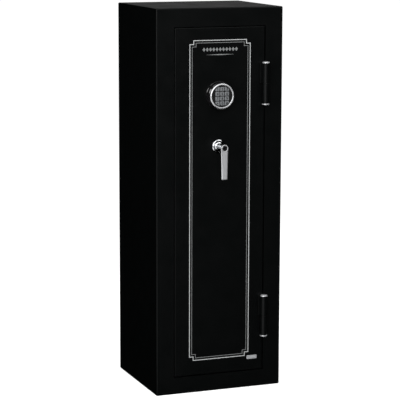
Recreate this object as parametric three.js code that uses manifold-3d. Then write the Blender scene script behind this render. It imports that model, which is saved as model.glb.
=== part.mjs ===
// Tall steel gun safe, closed and unlocked: a fire-lined cabinet, an inset door on two outside
// hinges, a lever handle that throws three bolts, and a round electronic keypad.
//
// Millimetres. +X is to the right of a person facing the door, +Z is up, and the origin is the
// middle of the cabinet's footprint on the floor. Inside the group `safe`, y is the depth
// behind the cabinet's front plane, so anything that stands proud of the door has a negative y.

import * as THREE from 'three'
import { mergeVertices } from 'three/addons/utils/BufferGeometryUtils.js'
import Module from 'manifold-3d'

// Driving dimensions
const WIDTH = 483
const DEPTH = 419
const HEIGHT = 1397
const STEEL = 2 // sheet of the cabinet and of its front frame
const GAP = 0.3 // between pieces that are welded, glued or screwed together
const STILE = 67 // face width of the front frame's stiles and of its header
const SILL = 62
const LIP = 28 // how far the frame's jamb lips run back
const DOOR_GAP = 3 // round the door
const DOOR_STEEL = 2.5
const BOARD = 12.7 // fireboard
const FLOOR_PAD = 6
const CORNER_SIDES = 32 // sides of a round piece
const FINE_SIDES = 48

// Front frame and door
const OPENING_X = WIDTH / 2 - STILE
const OPENING_TOP = HEIGHT - STILE
const DOOR_X = OPENING_X - DOOR_GAP
const DOOR_LOW = SILL + DOOR_GAP
const DOOR_TOP = OPENING_TOP - DOOR_GAP
const BOARD_FACE = WIDTH / 2 - STEEL - GAP // outer face of the boards at the sides
const INSIDE_X = BOARD_FACE - BOARD
const INSIDE_BACK = DEPTH - STEEL - GAP - BOARD
const INSIDE_LOW = STEEL + GAP + BOARD
const INSIDE_TOP = HEIGHT - INSIDE_LOW
const BEHIND_LIP = LIP + GAP

// Bolt work, in the box on the back of the door
const BOX_X = 160
const BOX_LOW = 80
const BOX_TOP = 1312
const BOX_FRONT = DOOR_STEEL + GAP + BOARD + GAP // depth of the box's web
const BOX_DEPTH = 62 // where its walls end and the lining panel begins
const BOX_STEEL = 3
const PANEL = 4
const BOLT_RADIUS = 12.7
const BOLT_DEPTH = 46
const BOLT_TIP = -165 // of a withdrawn bolt
const BOLT_HEIGHTS = { upper: 1092, middle: 696, lower: 300 }
const DEAD_BOLT_HEIGHTS = { upper: 1180, lower: 212 }
const DEAD_BOLT_TIP = 195
const THROW = 30
const BAR_EDGE = -125.7
const BAR_FRONT = 36 // depth of the bolt bar's web
const BAR_STEEL = 4

// Handle
const SPINDLE_X = -5
const SPINDLE_Z = 902
const SPINDLE_RADIUS = 6
const SPINDLE_HOLE = 7
const ROSETTE_FRONT = -9
const ROSETTE_RADIUS = 24.5
const HUB_FRONT = -62
const HUB_RADIUS = 13
const PADDLE_THICKNESS = 11
const PADDLE_LENGTH = 112.5
const PADDLE_TIP = 10.6 // half its width there
const HUB_RECESS = 10.3 // radius of the hole in the hub that the screw sits in
const HUB_RECESS_DEPTH = 4
const HUB_SCREW_RADIUS = 9.8
const NECK_RADIUS = 10
const CAM_RADIUS = 30
const CAM_FRONT = 28
const CAM_STEEL = 5
const DRIVE_RADIUS = THROW / Math.SQRT2 // a quarter turn carries the drive pin THROW sideways
const DRIVE_PIN = 4
const DRIVE_CLEARANCE = 0.9

// Keypad
const KEYPAD_X = -3.5
const KEYPAD_Z = 1085
const KEYPAD_BASE = 52 // radii
const KEYPAD_BODY = 50
const KEYPAD_CHAMFER = 5 // behind the ring, out to the body's side
const KEYPAD_FACE = 38
const KEYPAD_RING = 45
const KEYPAD_SHOULDER = -26
const KEYPAD_FRONT = -29.3
const KEY_PITCH_X = 18.1
const KEY_PITCH_Z = 17
const KEY_WIDTH = 15.6
const KEY_HEIGHT = 14.6
const KEY_CLEARANCE = 0.4
const KEY_CIRCLE = 36.8 // the outer keys are cut to this radius
const KEY_FRONT = -31
const KEY_BACK = -27
const KEY_POCKET = -25.5
const KEY_NAMES = [['1', '2', '3'], ['4', '5', '6'], ['7', '8', '9'], ['clear', '0', 'enter']]
const BAY_HALF = 17 // the battery bay behind the keys
const BAY_TOP = 15 // above the keypad's middle
const BAY_FRONT = -23.8
const BAY_BACK = -2.4
const TRAY_WALL = 1.3
const BATTERY = [26.5, 17.5, 48.5]
const CABLE_RADIUS = 2
const CABLE_HOLE = 5
const CABLE_Z = 1115

// Hinges
const HINGE_X = 171
const HINGE_OUT = -14
const HINGE_HEIGHTS = { upper: 1123.5, lower: 268.5 }
const HINGE_HALF = 79
const KNUCKLE_RADIUS = 12
const HINGE_CAP_RADIUS = 13.5
const HINGE_CAP = 6.5
const HINGE_PIN_RADIUS = 5
const HINGE_BORE = 5.5
const HINGE_LUG = 19

// Inside the cabinet
const SHELF_LOW = 1160
const SHELF_THICKNESS = 12
const SHELF_FRONT = 90
const REST_LOW = 935
const REST_THICKNESS = 30
const REST_DEPTH = 69
const NOTCHES = 8
const NOTCH_PITCH = 52
const NOTCH_RADIUS = 15
const NOTCH_DEPTH = 42

const wasm = await Module()
wasm.setup()

// Geometry helpers. `solid` makes a closed shape that can be joined and cut, `geometry` turns
// the result back into triangles.

function solid(shape, x = 0, y = 0, z = 0) {
  const bare = shape.clone().translate(x, y, z)
  bare.deleteAttribute('normal')
  bare.deleteAttribute('uv')
  const merged = mergeVertices(bare, 1e-4)
  return new wasm.Manifold(new wasm.Mesh({
    numProp: 3,
    vertProperties: merged.attributes.position.array,
    triVerts: new Uint32Array(merged.index.array),
  }))
}

function geometry(shape) {
  const mesh = shape.getMesh()
  const made = new THREE.BufferGeometry()
  made.setAttribute('position', new THREE.BufferAttribute(mesh.vertProperties, 3))
  made.setIndex(new THREE.BufferAttribute(mesh.triVerts, 1))
  return made
}

// A box between two corners
function box(low, high) {
  const size = high.map((value, i) => value - low[i])
  const middle = high.map((value, i) => (value + low[i]) / 2)
  return new THREE.BoxGeometry(...size).translate(...middle)
}

// A round bar along y, x or z, between two places on that axis
function barY(radius, from, to, sides = CORNER_SIDES) {
  return new THREE.CylinderGeometry(radius, radius, to - from, sides).translate(0, (from + to) / 2, 0)
}

function barX(radius, from, to, sides = CORNER_SIDES) {
  return barY(radius, from, to, sides).rotateZ(-Math.PI / 2)
}

function barZ(radius, from, to, sides = CORNER_SIDES) {
  return barY(radius, from, to, sides).rotateX(Math.PI / 2)
}

// A turned shape about y. The profile is [radius, y] pairs with y rising on its outer side.
function turned(profile, sides = CORNER_SIDES) {
  return new THREE.LatheGeometry(profile.map(([r, y]) => new THREE.Vector2(r, y)), sides)
}

function outline(points) {
  return new THREE.Shape(points.map(([x, y]) => new THREE.Vector2(x, y)))
}

function extruded(shape, depth) {
  return new THREE.ExtrudeGeometry(shape, { depth, bevelEnabled: false, curveSegments: 8 })
}

// A plate cut to an outline in x and z, from depth `front` to depth `back`
function plateXZ(shape, front, back) {
  return extruded(shape, back - front).rotateX(Math.PI / 2).translate(0, back, 0)
}

// A slot with round ends, centre to centre from `from` to `to`, cut through in y
function slot(from, to, radius, front, back) {
  const [dx, dz] = [to[0] - from[0], to[1] - from[1]]
  const along = Math.atan2(dz, dx)
  const shape = new THREE.Shape()
  shape.absarc(from[0], from[1], radius, along + Math.PI / 2, along + Math.PI * 1.5, false)
  shape.absarc(to[0], to[1], radius, along - Math.PI / 2, along + Math.PI / 2, false)
  return solid(plateXZ(shape, front, back))
}

const steelBlack = { color: 0x0c0c0d, roughness: 0.5, metalness: 0.3 }
const zincPlate = { color: 0xa9acb0, roughness: 0.4, metalness: 0.9 }
const chromePlate = { color: 0xd4d6d8, roughness: 0.12, metalness: 1 }
const satinMetal = { color: 0xacaeb1, roughness: 0.32, metalness: 0.9 }
const blackPlastic = { color: 0x0a0a0b, roughness: 0.25, metalness: 0 }
const keyPlastic = { color: 0xa3a5a8, roughness: 0.5, metalness: 0 }
const fireboard = { color: 0xd9d3c6, roughness: 0.9, metalness: 0 }
const carpet = { color: 0x4a4b4f, roughness: 0.95, metalness: 0 }
const foam = { color: 0x2a2b2e, roughness: 0.9, metalness: 0 }
const sealRubber = { color: 0x1a1a1a, roughness: 0.8, metalness: 0 }

function piece(parent, name, shape, look, place = [0, 0, 0]) {
  const form = shape.isBufferGeometry ? shape : geometry(shape)
  const mesh = new THREE.Mesh(form, new THREE.MeshStandardMaterial(look))
  mesh.name = name
  mesh.position.set(...place)
  parent.add(mesh)
  return mesh
}

function subgroup(parent, x, y, z) {
  const made = new THREE.Group()
  made.position.set(x, y, z)
  parent.add(made)
  return made
}

// The outer steel: one sheet wrapped round the sides and back, closed by a top and a bottom
function cabinetShell(parent) {
  const [edge, inner] = [WIDTH / 2, WIDTH / 2 - STEEL]
  const front = STEEL + GAP
  const wrap = outline([
    [-edge, front], [-inner, front], [-inner, DEPTH - STEEL], [inner, DEPTH - STEEL],
    [inner, front], [edge, front], [edge, DEPTH], [-edge, DEPTH],
  ])
  const high = HEIGHT - 2 * (STEEL + GAP)
  piece(parent, 'body_wrap', extruded(wrap, high), steelBlack, [0, 0, STEEL + GAP])
  const sheet = new THREE.BoxGeometry(WIDTH, DEPTH, STEEL)
  piece(parent, 'top_wall', sheet, steelBlack, [0, DEPTH / 2, HEIGHT - STEEL / 2])
  piece(parent, 'bottom_wall', sheet.clone(), steelBlack, [0, DEPTH / 2, STEEL / 2])
}

// The front frame: two stiles with the header and sill between them, each an angle whose lip
// runs back as the door's jamb
function frontFrame(parent) {
  const edge = WIDTH / 2
  const low = STEEL + GAP
  const high = HEIGHT - 2 * low
  const behind = OPENING_X + STEEL
  for (const [name, side] of [['left_stile', -1], ['right_stile', 1]]) {
    const angle = [
      [edge, 0], [edge, STEEL], [behind, STEEL], [behind, LIP], [OPENING_X, LIP], [OPENING_X, 0],
    ]
    const section = outline(angle.map(([x, y]) => [x * side, y]))
    piece(parent, name, extruded(section, high), steelBlack, [0, 0, low])
  }
  const length = 2 * (OPENING_X - GAP)
  const rails = [
    ['header_rail', OPENING_TOP, HEIGHT - low, 1],
    ['sill_rail', SILL, low, -1],
  ]
  for (const [name, jamb, far, away] of rails) {
    const lipBack = jamb + away * STEEL
    const angle = outline([[0, jamb], [0, far], [STEEL, far], [STEEL, lipBack], [LIP, lipBack], [LIP, jamb]])
    const rail = piece(parent, name, extruded(angle, length), steelBlack, [-length / 2, 0, 0])
    // turns the section's own x, y and z into depth, height and width
    rail.quaternion.setFromAxisAngle(new THREE.Vector3(1, 1, 1).normalize(), 2 * Math.PI / 3)
  }
}

// Heat seal: a thin strip all round the inside of the jamb
function jambSeal(parent) {
  const [front, back, thickness] = [18, 26, 1]
  const ring = (inset) => box(
    [-OPENING_X + inset, front, SILL + inset],
    [OPENING_X - inset, back, OPENING_TOP - inset],
  )
  const inner = ring(GAP + thickness).scale(1, 3, 1).translate(0, -(front + back), 0)
  piece(parent, 'jamb_seal', solid(ring(GAP)).subtract(solid(inner)), sealRubber)
}

// Fireboards, each with its carpet bonded to the side that faces the guns
function lining(parent) {
  const boardLow = STEEL + GAP
  const deepEnd = DEPTH - STEEL - GAP
  const level = INSIDE_LOW + GAP
  const sheets = {
    floor_fireboard: [[-BOARD_FACE, BEHIND_LIP, boardLow], [BOARD_FACE, deepEnd, INSIDE_LOW]],
    ceiling_fireboard: [[-BOARD_FACE, BEHIND_LIP, INSIDE_TOP], [BOARD_FACE, deepEnd, HEIGHT - boardLow]],
    left_fireboard: [[-BOARD_FACE, BEHIND_LIP, level], [-INSIDE_X, deepEnd, HEIGHT - level]],
    right_fireboard: [[INSIDE_X, BEHIND_LIP, level], [BOARD_FACE, deepEnd, HEIGHT - level]],
    rear_fireboard: [[-INSIDE_X + GAP, INSIDE_BACK, level], [INSIDE_X - GAP, deepEnd, HEIGHT - level]],
  }
  for (const [name, corners] of Object.entries(sheets)) {
    piece(parent, name, box(...corners), fireboard)
  }
  const pad = box(
    [-INSIDE_X + GAP, BEHIND_LIP, level],
    [INSIDE_X - GAP, INSIDE_BACK - GAP, level + FLOOR_PAD],
  )
  piece(parent, 'floor_pad', pad, carpet)
}

// The moulded foam rest that the barrels stand in, a comb of open notches
function barrelRest(parent) {
  const edge = INSIDE_X - 3
  const back = INSIDE_BACK - GAP
  const front = back - REST_DEPTH
  const floor = front + NOTCH_DEPTH - NOTCH_RADIUS
  const comb = new THREE.Shape()
  comb.moveTo(edge, back)
  comb.lineTo(-edge, back)
  comb.lineTo(-edge, front)
  for (let i = 0; i < NOTCHES; i += 1) {
    const x = (i - (NOTCHES - 1) / 2) * NOTCH_PITCH
    comb.lineTo(x - NOTCH_RADIUS, front)
    comb.absarc(x, floor, NOTCH_RADIUS, Math.PI, 0, true)
    comb.lineTo(x + NOTCH_RADIUS, front)
  }
  comb.lineTo(edge, front)
  piece(parent, 'barrel_rest', extruded(comb, REST_THICKNESS), foam, [0, 0, REST_LOW])
}

// The lift-off shelf and the angle strip that carries it along three walls
function shelf(parent) {
  const back = INSIDE_BACK - GAP
  const edge = INSIDE_X - GAP
  const board = box([-edge + 1, SHELF_FRONT, SHELF_LOW], [edge - 1, back - 1, SHELF_LOW + SHELF_THICKNESS])
  piece(parent, 'shelf', board, carpet)
  const horseshoe = (width) => outline([
    [-edge, SHELF_FRONT + 8], [-edge + width, SHELF_FRONT + 8], [-edge + width, back - width],
    [edge - width, back - width], [edge - width, SHELF_FRONT + 8], [edge, SHELF_FRONT + 8],
    [edge, back], [-edge, back],
  ])
  const [ledge, steel, drop] = [15, 2, 18]
  const flat = solid(extruded(horseshoe(ledge), steel), 0, 0, SHELF_LOW - GAP - steel)
  const upright = solid(extruded(horseshoe(steel), drop), 0, 0, SHELF_LOW - GAP - drop)
  piece(parent, 'shelf_support', flat.add(upright), steelBlack)
}

// A shallow steel pan: a plate with its four edges turned back
function pan(low, high, steel) {
  const outer = solid(box(low, high))
  const hollow = box(
    [low[0] + steel, low[1] + steel, low[2] + steel],
    [high[0] - steel, high[1] + steel, high[2] - steel],
  )
  return outer.subtract(solid(hollow))
}

function throughHole(x, z, radius, front, back) {
  return solid(barY(radius, front - 1, back + 1), x, 0, z)
}

// Holes that the spindle and the keypad's cable pass through, in each layer of the door
function doorHoles(shape, front, back) {
  return shape
    .subtract(throughHole(SPINDLE_X, SPINDLE_Z, SPINDLE_HOLE, front, back))
    .subtract(throughHole(KEYPAD_X, CABLE_Z, CABLE_HOLE, front, back))
}

function doorLayers(parent) {
  const shell = pan([-DOOR_X, 0, DOOR_LOW], [DOOR_X, LIP, DOOR_TOP], DOOR_STEEL)
  piece(parent, 'door_shell', doorHoles(shell, 0, DOOR_STEEL), steelBlack)
  const inset = DOOR_STEEL + GAP
  const board = solid(box(
    [-DOOR_X + inset, inset, DOOR_LOW + inset],
    [DOOR_X - inset, inset + BOARD, DOOR_TOP - inset],
  ))
  piece(parent, 'door_fireboard', doorHoles(board, inset, inset + BOARD), fireboard)

  let housing = pan([-BOX_X, BOX_FRONT, BOX_LOW], [BOX_X, BOX_DEPTH, BOX_TOP], BOX_STEEL)
  housing = doorHoles(housing, BOX_FRONT, BOX_FRONT + BOX_STEEL)
  const boltHole = barX(BOLT_RADIUS + 0.4, -BOX_X - 1, -BOX_X + BOX_STEEL + 1)
  for (const z of Object.values(BOLT_HEIGHTS)) {
    housing = housing.subtract(solid(boltHole, 0, BOLT_DEPTH, z))
  }
  piece(parent, 'bolt_work_box', housing, zincPlate)
  const panel = box([-BOX_X, BOX_DEPTH + GAP, BOX_LOW], [BOX_X, BOX_DEPTH + GAP + PANEL, BOX_TOP])
  piece(parent, 'door_lining_panel', panel, carpet)

  for (const [name, z] of Object.entries(DEAD_BOLT_HEIGHTS)) {
    const bolt = barX(BOLT_RADIUS, BOX_X + GAP, DEAD_BOLT_TIP)
    piece(parent, `dead_bolt_${name}`, bolt, chromePlate, [0, BOLT_DEPTH, z])
  }
  const plate = [39.5, 0.6, 13.5]
  const place = [129.8, -GAP - plate[1] / 2, 112.8]
  piece(parent, 'blank_plate', new THREE.BoxGeometry(...plate), satinMetal, place)
}

// Shoulder studs that the bolt bar slides on
const GUIDE = { x: -110, heights: { upper: 1000, lower: 430 }, radius: 5, shoulder: 8, clearance: 0.6 }

function guideStuds(parent) {
  const base = BOX_FRONT + BOX_STEEL + GAP
  const seat = BAR_FRONT - 0.5
  const head = BAR_FRONT + BAR_STEEL + 0.5
  const profile = [
    [0, base], [GUIDE.shoulder, base], [GUIDE.shoulder, seat], [GUIDE.radius, seat],
    [GUIDE.radius, head], [GUIDE.shoulder, head], [GUIDE.shoulder, head + 3], [0, head + 3],
  ]
  for (const [name, z] of Object.entries(GUIDE.heights)) {
    piece(parent, `guide_stud_${name}`, turned(profile, 24), zincPlate, [GUIDE.x, 0, z])
  }
}

// Lock case, with a bore for its plunger, and the plunger, which travels straight back into
// either of two holes in the bolt bar
const LOCK = { low: [-115, 860], high: [-50, 950], back: 34, plunger: 5, plungerX: -95, plungerTip: 35.2 }

function lock(parent) {
  const front = BOX_FRONT + BOX_STEEL + GAP
  const bore = throughHole(LOCK.plungerX, SPINDLE_Z, LOCK.plunger + GAP, front + 4, LOCK.back + 4)
  const body = solid(box([LOCK.low[0], front, LOCK.low[1]], [LOCK.high[0], LOCK.back, LOCK.high[1]]))
  piece(parent, 'lock_case', body.subtract(bore), zincPlate)
  const plunger = barY(LOCK.plunger, front + 4, LOCK.plungerTip, 24)
  piece(parent, 'lock_plunger', plunger, chromePlate, [LOCK.plungerX, 0, SPINDLE_Z])
}

// Bolt bar: an angle whose flange carries the three bolts, with an arm that reaches across to
// the cam's drive pin
function boltBar(parent) {
  const [front, back] = [BAR_FRONT, BAR_FRONT + BAR_STEEL]
  const [armLow, armHigh, armEnd] = [862, 942, 26]
  const [stripEnd, low, high] = [-70, 262, 1130]
  const tee = outline([
    [BAR_EDGE, low], [stripEnd, low], [stripEnd, armLow], [armEnd, armLow],
    [armEnd, armHigh], [stripEnd, armHigh], [stripEnd, high], [BAR_EDGE, high],
  ])
  const flange = solid(box([BAR_EDGE, front, low], [BAR_EDGE + BAR_STEEL, front + 22, high]))
  let bar = solid(plateXZ(tee, front, back)).add(flange)
  const studSlot = GUIDE.radius + GUIDE.clearance
  for (const z of Object.values(GUIDE.heights)) {
    bar = bar.subtract(slot([GUIDE.x, z], [GUIDE.x + THROW, z], studSlot, front - 1, back + 1))
  }
  for (const shift of [0, THROW]) {
    bar = bar.subtract(throughHole(LOCK.plungerX + shift, SPINDLE_Z, LOCK.plunger + 0.6, front, back))
  }
  const drive = DRIVE_RADIUS * Math.SQRT1_2
  const reach = DRIVE_RADIUS - drive + 1
  const pinX = SPINDLE_X + drive
  const pinZ = SPINDLE_Z - drive
  const pinSlot = DRIVE_PIN + DRIVE_CLEARANCE
  bar = bar.subtract(slot([pinX, pinZ - reach], [pinX, pinZ + 1], pinSlot, front - 1, back + 1))
  piece(parent, 'bolt_bar', bar, zincPlate)
  const chamfer = 1.5
  const bolt = turned([
    [0, BOLT_TIP], [BOLT_RADIUS - chamfer, BOLT_TIP], [BOLT_RADIUS, BOLT_TIP + chamfer],
    [BOLT_RADIUS, BAR_EDGE - GAP], [0, BAR_EDGE - GAP],
  ])
  for (const [name, z] of Object.entries(BOLT_HEIGHTS)) {
    const mesh = piece(parent, `live_bolt_${name}`, bolt.clone(), chromePlate, [0, BOLT_DEPTH, z])
    mesh.rotation.z = -Math.PI / 2
  }
}

// Lever handle, hanging down, with its spindle and the cam inside the door
function handle(parent) {
  const rosette = turned([
    [SPINDLE_HOLE, ROSETTE_FRONT], [ROSETTE_RADIUS - 7, ROSETTE_FRONT], [ROSETTE_RADIUS - 4.7, -6.5],
    [ROSETTE_RADIUS - 4.7, -5], [ROSETTE_RADIUS - 1, -5], [ROSETTE_RADIUS, -4], [ROSETTE_RADIUS, -GAP],
    [SPINDLE_HOLE, -GAP], [SPINDLE_HOLE, ROSETTE_FRONT],
  ], FINE_SIDES)
  piece(parent, 'handle_rosette', rosette, chromePlate)

  const paddleTop = HUB_FRONT + PADDLE_THICKNESS
  const slope = Math.asin((HUB_RADIUS - PADDLE_TIP) / PADDLE_LENGTH)
  const corner = 3
  const paddle = new THREE.Shape()
  paddle.absarc(0, 0, HUB_RADIUS, -slope, Math.PI + slope, false)
  paddle.lineTo(-PADDLE_TIP, -PADDLE_LENGTH + corner)
  paddle.lineTo(-PADDLE_TIP + corner, -PADDLE_LENGTH)
  paddle.lineTo(PADDLE_TIP - corner, -PADDLE_LENGTH)
  paddle.lineTo(PADDLE_TIP, -PADDLE_LENGTH + corner)
  const recess = solid(barY(HUB_RECESS, HUB_FRONT - 1, HUB_FRONT + HUB_RECESS_DEPTH))
  const bore = solid(barY(SPINDLE_RADIUS + GAP, HUB_FRONT + 12, ROSETTE_FRONT + 1))
  const neck = solid(barY(NECK_RADIUS, HUB_FRONT + 8, ROSETTE_FRONT - GAP))
  const lever = solid(plateXZ(paddle, HUB_FRONT, paddleTop)).add(neck).subtract(recess).subtract(bore)
  piece(parent, 'lever', lever, satinMetal)
  const screw = barY(HUB_SCREW_RADIUS, HUB_FRONT + 1.2, HUB_FRONT + HUB_RECESS_DEPTH - GAP)
  piece(parent, 'hub_screw', screw, blackPlastic)

  const spindle = barY(SPINDLE_RADIUS, HUB_FRONT + 12 + GAP, CAM_FRONT + CAM_STEEL, 24)
  piece(parent, 'spindle', spindle, zincPlate)
  const disc = solid(barY(CAM_RADIUS, CAM_FRONT, CAM_FRONT + CAM_STEEL))
  const eye = throughHole(0, 0, SPINDLE_RADIUS + GAP, CAM_FRONT, CAM_FRONT + CAM_STEEL)
  const drive = DRIVE_RADIUS * Math.SQRT1_2
  const pin = solid(barY(DRIVE_PIN, CAM_FRONT + 2, BAR_FRONT + BAR_STEEL + 2, 24), drive, 0, -drive)
  piece(parent, 'handle_cam', disc.subtract(eye).add(pin), zincPlate)
}

function keySolid(grow) {
  const [w, h] = [KEY_WIDTH / 2 + grow, KEY_HEIGHT / 2 + grow]
  return (x, z, front, back) => solid(box([x - w, front, z - h], [x + w, back, z + h]))
    .intersect(solid(barY(KEY_CIRCLE + grow, front - 1, back + 1, FINE_SIDES)))
}

// Round electronic keypad: a black housing with a chrome ring, twelve keys, and a battery
// tray that draws out downwards
function keypad(parent) {
  const body = turned([
    [0, KEYPAD_FRONT], [KEYPAD_FACE, KEYPAD_FRONT], [KEYPAD_FACE, KEYPAD_SHOULDER],
    [KEYPAD_BODY - KEYPAD_CHAMFER, KEYPAD_SHOULDER], [KEYPAD_BODY, KEYPAD_SHOULDER + KEYPAD_CHAMFER],
    [KEYPAD_BODY, -7], [KEYPAD_BASE, -6], [KEYPAD_BASE, -GAP], [0, -GAP],
  ], FINE_SIDES)
  const bayFloor = -KEYPAD_BASE - 1
  const bay = box([-BAY_HALF, BAY_FRONT, bayFloor], [BAY_HALF, BAY_BACK, BAY_TOP])
  let housing = solid(body).subtract(solid(bay))
  const pocket = keySolid(KEY_CLEARANCE)
  const key = keySolid(0)
  KEY_NAMES.forEach((row, i) => row.forEach((name, j) => {
    const x = (j - 1) * KEY_PITCH_X
    const z = (1.5 - i) * KEY_PITCH_Z
    housing = housing.subtract(pocket(x, z, KEYPAD_FRONT - 1, KEY_POCKET))
    piece(parent, `key_${name}`, key(x, z, KEY_FRONT, KEY_BACK), keyPlastic)
  }))
  piece(parent, 'keypad_housing', housing, blackPlastic)
  const ringInner = KEYPAD_FACE + 0.4
  const ring = turned([
    [ringInner, -30.4], [ringInner + 1.6, -32], [KEYPAD_RING - 1.9, -32], [KEYPAD_RING, -30],
    [KEYPAD_RING, KEYPAD_SHOULDER - GAP], [ringInner, KEYPAD_SHOULDER - GAP], [ringInner, -30.4],
  ], FINE_SIDES)
  piece(parent, 'keypad_ring', ring, chromePlate)

  const trayFront = BAY_FRONT + GAP
  const trayBack = BAY_BACK - GAP
  const top = BAY_TOP - GAP - 0.2
  const edge = BAY_HALF - 0.4
  const round = solid(barY(KEYPAD_BODY - GAP, trayFront - 1, trayBack + 1, FINE_SIDES))
  const block = solid(box([-edge, trayFront, bayFloor], [edge, trayBack, top])).intersect(round)
  const [bw, bd, bh] = BATTERY
  const batteryTop = top - TRAY_WALL - GAP
  const batteryBack = trayBack - TRAY_WALL - GAP
  const well = box(
    [-bw / 2 - GAP, trayFront - 1, batteryTop - bh - GAP],
    [bw / 2 + GAP, batteryBack + GAP, batteryTop + GAP],
  )
  piece(parent, 'battery_tray', block.subtract(solid(well)), blackPlastic)
  const battery = new THREE.BoxGeometry(...BATTERY)
  piece(parent, 'battery', battery, satinMetal, [0, batteryBack - bd / 2, batteryTop - bh / 2])
}

// Lead from the back of the keypad to the top of the lock case, held inside the door
function keypadCable(parent) {
  const lockX = (LOCK.low[0] + LOCK.high[0]) / 2
  const route = new THREE.CatmullRomCurve3([
    [KEYPAD_X, 0, CABLE_Z], [KEYPAD_X, 10, CABLE_Z], [KEYPAD_X, 20, CABLE_Z - 1],
    [KEYPAD_X - 5, 27, CABLE_Z - 12], [KEYPAD_X - 30, 27.5, CABLE_Z - 55], [lockX + 8, 27, 1010],
    [lockX, 27, 975], [lockX, 27, LOCK.high[1] + GAP],
  ].map((point) => new THREE.Vector3(...point)))
  const round = new THREE.Shape()
  round.absarc(0, 0, CABLE_RADIUS, 0, 2 * Math.PI, false)
  const tube = new THREE.ExtrudeGeometry(round, { extrudePath: route, steps: 30, curveSegments: 4 })
  piece(parent, 'keypad_cable', tube, blackPlastic)
}

// Outside hinges: the lower knuckle and the pin stay with the cabinet, the upper knuckle
// swings with the door
function hinges(parent) {
  for (const [name, z] of Object.entries(HINGE_HEIGHTS)) {
    const hinge = subgroup(parent, HINGE_X, HINGE_OUT, z)
    const end = HINGE_HALF - HINGE_CAP - GAP
    const face = -HINGE_OUT - GAP
    const knuckle = (low, high, side) => {
      const lug = [[0, face - 9, low], [side * HINGE_LUG, face, high]]
      const near = lug[0].map((value, i) => Math.min(value, lug[1][i]))
      const far = lug[0].map((value, i) => Math.max(value, lug[1][i]))
      return solid(barZ(KNUCKLE_RADIUS, low, high)).add(solid(box(near, far)))
        .subtract(solid(barZ(HINGE_BORE, low - 1, high + 1, 24)))
    }
    piece(hinge, `door_knuckle_${name}`, knuckle(GAP, end, -1), steelBlack)
    piece(hinge, `frame_knuckle_${name}`, knuckle(-end, -GAP, 1), steelBlack)
    const cap = HINGE_HALF - HINGE_CAP
    const edge = 1
    const pin = turned([
      [0, -HINGE_HALF], [HINGE_CAP_RADIUS - edge, -HINGE_HALF], [HINGE_CAP_RADIUS, -HINGE_HALF + edge],
      [HINGE_CAP_RADIUS, -cap], [HINGE_PIN_RADIUS, -cap], [HINGE_PIN_RADIUS, cap],
      [HINGE_CAP_RADIUS, cap], [HINGE_CAP_RADIUS, HINGE_HALF - edge],
      [HINGE_CAP_RADIUS - edge, HINGE_HALF], [0, HINGE_HALF],
    ], CORNER_SIDES)
    const mesh = piece(hinge, `hinge_pin_${name}`, pin, chromePlate)
    mesh.rotation.x = Math.PI / 2
  }
}

const group = new THREE.Group()
const safe = subgroup(group, 0, -DEPTH / 2, 0)
cabinetShell(safe)
frontFrame(safe)
jambSeal(safe)
lining(safe)
barrelRest(safe)
shelf(safe)
doorLayers(safe)
guideStuds(safe)
lock(safe)
boltBar(safe)
handle(subgroup(safe, SPINDLE_X, 0, SPINDLE_Z))
keypad(subgroup(safe, KEYPAD_X, 0, KEYPAD_Z))
keypadCable(safe)
hinges(safe)

export default group
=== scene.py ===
import math

import bmesh
import bpy
import numpy as np
from mathutils import Matrix, Vector


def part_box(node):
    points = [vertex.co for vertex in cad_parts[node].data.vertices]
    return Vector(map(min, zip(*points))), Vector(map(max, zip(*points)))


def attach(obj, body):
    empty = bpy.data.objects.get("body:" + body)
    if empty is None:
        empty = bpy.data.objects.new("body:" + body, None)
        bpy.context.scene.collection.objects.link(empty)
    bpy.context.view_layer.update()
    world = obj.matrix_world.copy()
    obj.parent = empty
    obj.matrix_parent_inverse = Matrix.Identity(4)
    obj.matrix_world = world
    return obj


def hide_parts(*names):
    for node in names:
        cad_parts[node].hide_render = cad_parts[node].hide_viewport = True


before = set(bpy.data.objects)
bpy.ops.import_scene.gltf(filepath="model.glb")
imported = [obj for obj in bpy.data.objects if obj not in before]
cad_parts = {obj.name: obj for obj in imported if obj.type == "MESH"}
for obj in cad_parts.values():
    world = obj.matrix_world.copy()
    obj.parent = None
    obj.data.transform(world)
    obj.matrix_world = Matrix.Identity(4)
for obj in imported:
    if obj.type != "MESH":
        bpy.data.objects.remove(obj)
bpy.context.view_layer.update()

MM = 0.001

# --- places, all from the frame


def ends(node):
    """Lowest and highest corner of a CAD node as two arrays, in millimetres."""
    low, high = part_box(node)
    return np.array(low) / MM, np.array(high) / MM


def middle(node):
    """Middle of a CAD node's box, in millimetres."""
    low, high = ends(node)
    return (low + high) / 2


CASE_LOW = np.minimum(ends("body_wrap")[0], ends("bottom_wall")[0])
CASE_HIGH = np.maximum(ends("body_wrap")[1], ends("top_wall")[1])
FACE = ends("left_stile")[0][1]  # the front plane
REAR = CASE_HIGH[1]
HEIGHT = CASE_HIGH[2]
LIP_BACK = ends("left_stile")[1][1]
JAMB_LEFT = ends("left_stile")[1][0]
JAMB_RIGHT = ends("right_stile")[0][0]
JAMB_LOW = ends("sill_rail")[1][2]
JAMB_HIGH = ends("header_rail")[0][2]
SHEET = ends("top_wall")[1][2] - ends("top_wall")[0][2]
DOOR_LOW, DOOR_HIGH = ends("door_shell")
SPINDLE = middle("handle_rosette")
KEYPAD = middle("keypad_ring")
HANDLE_AXIS = SPINDLE * [1, 0, 1]
KEYPAD_AXIS = KEYPAD * [1, 0, 1]

# --- camera

def linked(name, data):
    """A new object in the scene for a mesh, curve, light or camera."""
    made = bpy.data.objects.new(name, data)
    bpy.context.scene.collection.objects.link(made)
    return made


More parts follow.
